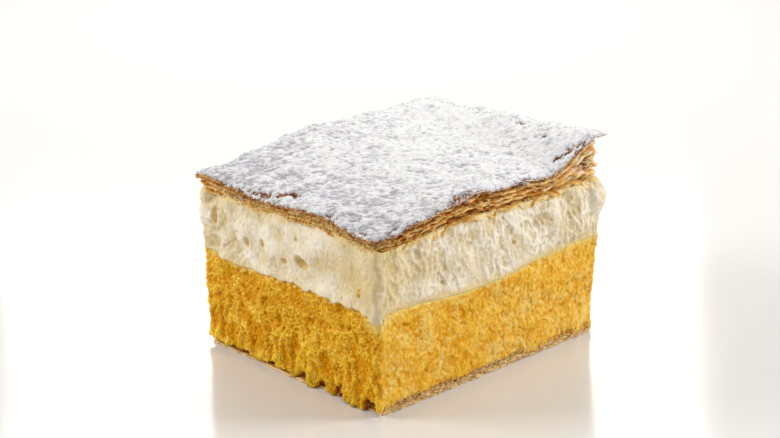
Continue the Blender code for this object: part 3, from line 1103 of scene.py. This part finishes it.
def grain_group():
    """Grain: coarse and fine noise and small round grains, as a height."""
    group, given, made = new_group(
        "Grain", {"Scale": 1000.0, "Stretch": (1, 1, 1), "Turn": (0, 0, 0), "Rounded": 0.5},
        {"Height": 1, "Coarse": 1},
    )
    place = group.nodes.new("ShaderNodeTexCoord").outputs["Object"]
    mapping = group.nodes.new("ShaderNodeMapping")
    mapping.vector_type = "TEXTURE"
    feed(mapping.inputs["Vector"], place)
    feed(mapping.inputs["Scale"], given["Stretch"])
    feed(mapping.inputs["Rotation"], given["Turn"])
    coarse = texture(group, mapping.outputs[0], given["Scale"], 4, 0.6)
    finer = calculate(group, given["Scale"], "MULTIPLY", 2.9)
    fine = texture(group, mapping.outputs[0], finer, 3, 0.7)
    rounds = group.nodes.new("ShaderNodeTexVoronoi")
    rounds.feature = "SMOOTH_F1"
    rounds.inputs["Smoothness"].default_value = 0.35
    feed(rounds.inputs["Vector"], mapping.outputs[0])
    feed(rounds.inputs["Scale"], calculate(group, given["Scale"], "MULTIPLY", 1.3))
    dome = calculate(group, 1.0, "SUBTRACT", rounds.outputs["Distance"])
    height = calculate(group, coarse, "ADD", calculate(group, fine, "MULTIPLY", 0.45))
    height = calculate(group, height, "ADD", calculate(group, dome, "MULTIPLY", given["Rounded"]))
    feed(made["Height"], height)
    feed(made["Coarse"], coarse)
    return group


def tone_group():
    """Tone: a raised and a sunken colour by depth, painted shade on the custard, cream and sugar and
    browning on the pastry, stained in blotches, with smears on top that in places paint shade and glow.
    """
    group, given, made = new_group(
        "Tone",
        {
            "Depth": 0.5, "Smear Amount": 0.0, "Raised": (1, 1, 1, 1), "Sunken": (0.5, 0.5, 0.5, 1),
            "Deep": (0.2, 0.2, 0.2, 1), "Stain": (0.2, 0.1, 0.0, 1), "Smear": (0.9, 0.9, 0.9, 1),
            "Blotch Scale": 120.0, "Stain Amount": 0.3, "Speckle": 0.5,
        },
        {"Color": 4},
    )
    place = group.nodes.new("ShaderNodeTexCoord").outputs["Object"]
    blotch = texture(group, place, given["Blotch Scale"], 5, 0.6)
    stained = calculate(group, spread(group, blotch, 0.48, 0.72), "MULTIPLY", given["Stain Amount"])
    depth = spread(group, given["Depth"], 0.0, 0.85)
    ground = blend(group, depth, given["Raised"], given["Sunken"])
    ground = blend(group, spread(group, given["Depth"], 0.8, 1.25), ground, given["Deep"])
    ground = blend(group, stained, ground, given["Stain"])
    patchy = calculate(group, blotch, "SUBTRACT", 0.5)
    speckled = calculate(group, given["Speckle"], "SUBTRACT", 0.5)
    uneven = calculate(group, patchy, "ADD", calculate(group, speckled, "MULTIPLY", 2.2))
    ragged = spread(group, calculate(group, given["Smear Amount"], "ADD", uneven), 0.15, 0.85)
    most = calculate(group, given["Smear Amount"], "MULTIPLY", 2.0)
    ragged = calculate(group, calculate(group, ragged, "MULTIPLY", 0.9), "MINIMUM", most)
    feed(made["Color"], blend(group, ragged, ground, given["Smear"]))
    return group


# The finishes: the colours of raised, sunken, deep, stained and smeared places; the blotches' scale
# and strength; the grain's scale, stretch, roundness and share in the colour; its height in mm; the
# roughness of raised and sunken places; how strongly it shines; the weight and reach of light
# within the food; and the way of the grain's stretch, round Z. The sunken and deep colours paint
# shade into the hollows of the custard, the cream and the sugar, cool grey on the sugar, and are
# the browning of the pastry, with painted shade between the leaves; the cream's and the golden
# leaves' smeared colours also paint shade in the cream's pockets and under the pastry, and a glow
# on the leaves under the lifted corner.
FINISHES = {
    "custard": (
        (0.98, 0.60, 0.016), (0.69, 0.265, 0.0), (0.26, 0.055, 0.01), (0.86, 0.43, 0.0),
        (0.88, 0.66, 0.18),
        (240, 0.22), (950, (1, 1, 1.2), 0.8, 1.0), 0.42, (0.14, 0.36), 0.42, (0.3, (0.9, 0.8, 0.4)), 0.0,
    ),
    "whipped_cream": (
        (0.91, 0.84, 0.71), (0.66, 0.52, 0.27), (0.42, 0.30, 0.11), (0.82, 0.70, 0.48),
        (0.78, 0.60, 0.27),
        (170, 0.35), (1150, (1, 1, 1.3), 0.5, 0.8), 0.28, (0.42, 0.6), 0.35, (0.35, (2.2, 1.8, 1.2)), 0.0,
    ),
    "golden_leaves": (
        (0.88, 0.55, 0.18), (0.52, 0.20, 0.025), (0.24, 0.05, 0.01), (0.74, 0.36, 0.06),
        (0.86, 0.68, 0.52),
        (420, 0.4), (1100, (2, 2, 0.45), 0.2, 1.0), 0.22, (0.42, 0.65), 0.35, (0.4, (2.2, 1.1, 0.4)), 0.0,
    ),
    "tan_leaves": (
        (0.90, 0.62, 0.28), (0.52, 0.23, 0.05), (0.18, 0.04, 0.01), (0.64, 0.31, 0.08),
        (0.94, 0.76, 0.54),
        (480, 0.45), (1100, (2, 2, 0.45), 0.2, 1.0), 0.18, (0.4, 0.65), 0.35, (0.35, (2.0, 1.1, 0.45)), 0.0,
    ),
    "browned_crust": (
        (0.64, 0.31, 0.06), (0.21, 0.065, 0.02), (0.10, 0.03, 0.01), (0.56, 0.27, 0.07),
        (0.88, 0.74, 0.64),
        (330, 0.6), (1500, (1, 1, 0.5), 0.2, 1.2), 0.25, (0.4, 0.6), 0.35, (0.12, (1.5, 0.7, 0.25)), 0.0,
    ),
    "icing_sugar": (
        (0.90, 0.90, 0.91), (0.50, 0.49, 0.52), (0.40, 0.34, 0.33), (0.78, 0.77, 0.78),
        (0.34, 0.16, 0.09),
        (420, 0.25), (1100, (1.3, 1, 1), 0.5, 1.9), 0.60, (0.8, 0.95), 0.3, (0.08, (0.6, 0.6, 0.6)),
        math.atan2(SWEEP.y, SWEEP.x),
    ),
    "vanilla_seed": (
        (0.10, 0.045, 0.02), (0.05, 0.02, 0.01), (0.03, 0.01, 0.005), (0.15, 0.07, 0.02),
        (0.2, 0.1, 0.03),
        (900, 0.3), (3000, (1, 1, 1), 0.3, 0.5), 0.05, (0.4, 0.6), 0.5, (0.0, (1.0, 1.0, 1.0)), 0.0,
    ),
}


def new_material(name):
    """A new material and its shader's inputs."""
    material = bpy.data.materials.new(name)
    material.use_nodes = True
    return material, material.node_tree.nodes["Principled BSDF"].inputs


def kept_value(tree, name):
    """A value that is kept at each point."""
    node = tree.nodes.new("ShaderNodeAttribute")
    node.attribute_name = name
    return node.outputs["Fac"]


def use_group(tree, group, values):
    """A node that stands for a group, with its inputs set."""
    node = tree.nodes.new("ShaderNodeGroup")
    node.node_tree = group
    for label, value in values.items():
        feed(node.inputs[label], value)
    return node


def food(name, grain_tree, tone_tree):
    """A soft food finish of the table, made with the two shared groups."""
    *colours, blotch, grain, bump, rough, gloss, scatter, turn = FINISHES[name]
    material, shader = new_material(name)
    tree = material.node_tree
    shade_and_browning, smear_shade_and_glow = kept_value(tree, "shade_and_browning"), kept_value(tree, "smear_shade_and_glow")
    scale, stretch, rounded, share = grain
    grains = use_group(
        tree, grain_tree, {"Scale": scale, "Stretch": stretch, "Rounded": rounded, "Turn": (0, 0, turn)},
    )
    coarse = grains.outputs["Coarse"]
    # Painted shade: the colour is darker where the grain's height is low and lighter where it is high.
    grain_dip_shade = calculate(tree, calculate(tree, 0.5, "SUBTRACT", coarse), "MULTIPLY", share)
    tones = {"Depth": calculate(tree, shade_and_browning, "ADD", grain_dip_shade), "Smear Amount": smear_shade_and_glow, "Speckle": coarse}
    tones.update(zip(("Raised", "Sunken", "Deep", "Stain", "Smear"), ((*rgb, 1) for rgb in colours)))
    tones["Blotch Scale"], tones["Stain Amount"] = blotch
    feed(shader["Base Color"], use_group(tree, tone_tree, tones).outputs["Color"])
    feed(shader["Roughness"], spread(tree, shade_and_browning, 0, 1, *rough))
    covered = calculate(tree, 1.0, "SUBTRACT", calculate(tree, smear_shade_and_glow, "MULTIPLY", 0.6))
    relief = tree.nodes.new("ShaderNodeBump")
    relief.inputs["Strength"].default_value = 0.8
    relief.inputs["Distance"].default_value = bump * MM
    height = calculate(tree, grains.outputs["Height"], "MULTIPLY", covered)
    feed(relief.inputs["Height"], height)
    feed(shader["Normal"], relief.outputs["Normal"])
    feed(shader["Specular IOR Level"], spread(tree, shade_and_browning, 0.1, 0.8, gloss, 0.1 * gloss))
    shader["Subsurface Weight"].default_value, shader["Subsurface Radius"].default_value = scatter
    shader["Subsurface Scale"].default_value = MM
    return material


# ---- stage


def area_light(name, place, aim, size, power, colour):
    """A soft square light at place that faces aim."""
    data = bpy.data.lights.new(name, "AREA")
    data.energy = power
    data.size = size
    data.color = colour
    light = set_in_scene(name, data)
    light.location = place
    light.rotation_euler = (Vector(aim) - place).to_track_quat("-Z", "Y").to_euler()


def toward(azimuth, elevation, distance):
    """A place seen from the slice: azimuth 0 is -Y and grows towards +X, in degrees."""
    turn, lift = math.radians(azimuth), math.radians(elevation)
    flat = math.cos(lift)
    return distance * Vector((math.sin(turn) * flat, -math.cos(turn) * flat, math.sin(lift)))


# Name, azimuth, elevation, distance, size, power and colour of each light.
LIGHTS = (
    ("back_light", 140, 36, 0.6, 0.4, 1.9, (1.0, 0.985, 0.97)),
    ("left_light", -135, 26.5, 0.9, 0.35, 4.7, (1.0, 0.985, 0.96)),
    ("right_light", 50, 26.5, 0.9, 0.35, 5.4, (1.0, 0.99, 0.99)),
    ("front_light", -45, 40, 1.0, 0.5, 1.2, (1.0, 0.98, 0.95)),
)


def camera():
    """The camera that all sizes in the picture come from."""
    data = bpy.data.cameras.new("camera")
    data.lens = 105
    data.sensor_width = 36
    piece = set_in_scene("camera", data)
    away = toward(-42.58, 20.64, 730.3 * MM)
    piece.location = SLICE_AT + Vector(mm(19.06, 25.79, 27.0)) + away
    tilt = Matrix.Rotation(math.radians(-0.824), 4, "Z")
    aimed = (-away).to_track_quat("-Z", "Y").to_matrix().to_4x4()
    piece.rotation_euler = (aimed @ tilt).to_euler()
    bpy.context.scene.camera = piece


def stage():
    """The pale floor, the white surround and the lights."""
    scene = bpy.context.scene
    scene.view_settings.view_transform = "Standard"
    scene.world = bpy.data.worlds.new("surround")
    scene.world.use_nodes = True
    surround = scene.world.node_tree.nodes["Background"]
    surround.inputs["Color"].default_value = (1.0, 0.99, 0.98, 1)
    surround.inputs["Strength"].default_value = 0.35

    mesh = bmesh.new()
    bmesh.ops.create_grid(mesh, x_segments=1, y_segments=1, size=4.0)
    glaze, shader = new_material("pale_glaze")
    shader["Base Color"].default_value = (0.82, 0.81, 0.79, 1)
    shader["Roughness"].default_value = 0.14
    floor = mesh_object("floor", mesh, glaze)

    for name, azimuth, elevation, distance, size, power, colour in LIGHTS:
        area_light(name, toward(azimuth, elevation, distance), mm(0, 0, 30), size, power, colour)


# ---- the slice


def build():
    camera()
    stage()
    random.seed(7)
    noise.seed_set(7)
    groups = grain_group(), tone_group()
    yellow, white, golden, tan, brown, sugar, dark = (food(name, *groups) for name in FINISHES)
    layer_piece(
        "custard_body", yellow, "custard", custard_point, bottom_pastry_top, custard_top,
        cell=0.34, rows=84,
    )
    custard_grains_piece(yellow)
    layer_piece(
        "cream_body", white, "whipped_cream", cream_point, custard_top, cream_top,
        cell=0.33, rows=56,
    )
    top_leaves(golden)
    bottom_leaves(tan)
    # The fillers are coloured dark, 1.1 and 0.6: painted shade deep between the leaves.
    filler(
        "bottom_filler", tan,
        lambda x, y: 0.0, bottom_pastry_top, 2.6 * MM, 1.1, "bottom_pastry",
    )
    filler(
        "top_filler", golden,
        cream_top, lambda x, y: crust_top(x, y) - 1.2 * MM, 2.0 * MM, 0.6,
    )
    crust_piece(brown)
    sugar_piece(sugar)
    sugar_grains_piece(sugar)
    flakes_piece(golden)
    corner_flakes_piece(golden)
    top_crumbs_piece(golden)
    bottom_crumbs_piece(tan)
    strand_piece(tan)
    specks_piece(dark)


build()
